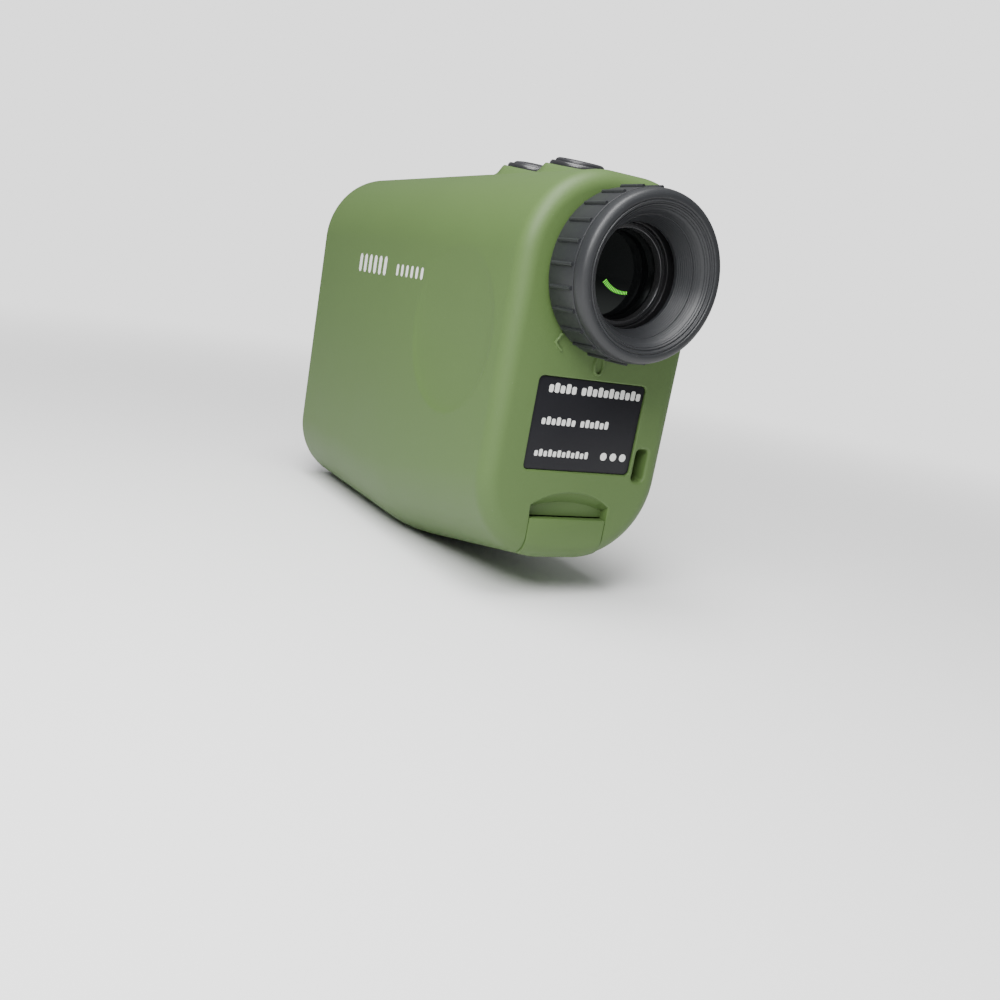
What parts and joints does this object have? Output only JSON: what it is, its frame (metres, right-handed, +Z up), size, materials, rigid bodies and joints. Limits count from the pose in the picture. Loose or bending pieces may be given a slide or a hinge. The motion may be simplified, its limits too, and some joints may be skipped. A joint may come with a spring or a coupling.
{
  "type": "laser rangefinder",
  "caption": "Handheld monocular laser rangefinder: rounded green case, turning black eyepiece with eyecup, two top buttons, front lenses and a battery door under the rear end.",
  "frame": {"origin": "under the middle of the whole length, on the plane of the flat base", "axes": "+Y along the line of sight, away from the eye; +X the user's right; +Z up"},
  "size_m": [0.039, 0.108, 0.0811],
  "materials": {
    "green_case": "matte olive green moulding with a soft sheen",
    "black_cover": "black moulding, fine texture",
    "black_rubber": "satin black rubber",
    "black_button": "satin black keys",
    "black_metal": "black anodised, turned",
    "coated_glass": "polished, coated",
    "steel": "plated steel",
    "circuit_board": "solder mask",
    "board_parts": "moulded packages",
    "ribbon": "polyimide film",
    "label_black": "printed black label",
    "cell_wrap": "shrink sleeve"
  },
  "bodies": {
    "root": {"battery_cell": "cell_wrap", "battery_contact": "steel", "battery_spring": "steel", "battery_tray": "black_cover", "button_board": "circuit_board", "detector_board": "circuit_board", "detector_can": "steel", "diode_board": "circuit_board", "dioptre_o_ring": "black_rubber", "door_hinge_pin": "steel", "emitter_lens": "coated_glass", "emitter_ring": "black_metal", "emitter_tube": "black_metal", "eyepiece_barrel": "black_metal", "flex_cable": "ribbon", "front_cover": "black_cover", "front_gasket": "black_rubber", "front_screws": "steel", "housing": "green_case", "label_plate": "label_black", "laser_diode": "steel", "main_board": "circuit_board", "main_board_parts": "board_parts", "main_board_screws": "steel", "mode_button_ring": "black_cover", "mode_switch": "black_button", "objective_crown": "coated_glass", "objective_flint": "coated_glass", "objective_ring": "black_metal", "optical_chassis": "black_cover", "optical_tube": "black_metal", "prism_cover": "black_cover", "prism_cover_screws": "steel", "prism_front": "coated_glass", "prism_rear": "coated_glass", "range_button_ring": "black_cover", "range_switch": "black_button", "reticle_display": "coated_glass"},
    "dioptre": {"dioptre_ring": "black_rubber", "eyecup": "black_rubber"},
    "focus_cell": {"eyepiece_cell": "black_metal", "eye_lens": "coated_glass", "field_lens": "coated_glass", "eye_lens_ring": "black_metal", "lens_spacer": "black_metal"},
    "range_key": {"range_button": "black_button"},
    "mode_key": {"mode_button": "black_button"},
    "door": {"battery_door": "green_case"}
  },
  "joints": [
    {"name": "dioptre_turn", "type": "hinge", "parent": "root", "child": "dioptre", "pos_m": [0, -0.04345, 0.061], "axis": [0, 1, 0], "range_deg": [-90, 90]},
    {"name": "focus_travel", "type": "slide", "parent": "root", "child": "focus_cell", "axis": [0, 1, 0], "range_m": [-0.001, 0.001]},
    {"name": "range_press", "type": "slide", "parent": "root", "child": "range_key", "axis": [0, 0.1219, -0.9925], "range_m": [0, 0.0006], "stiffness_N_per_m": 900, "springref_m": -0.0012},
    {"name": "mode_press", "type": "slide", "parent": "root", "child": "mode_key", "axis": [0, 0.1219, -0.9925], "range_m": [0, 0.0006], "stiffness_N_per_m": 900, "springref_m": -0.0012},
    {"name": "door_swing", "type": "hinge", "parent": "root", "child": "door", "pos_m": [0, -0.00345, 0.0022], "axis": [1, 0, 0], "range_deg": [0, 90]}
  ],
  "couplings": [
    {"joint": "focus_travel", "follows": "dioptre_turn", "m_per_rad": 0.000636}
  ]
}
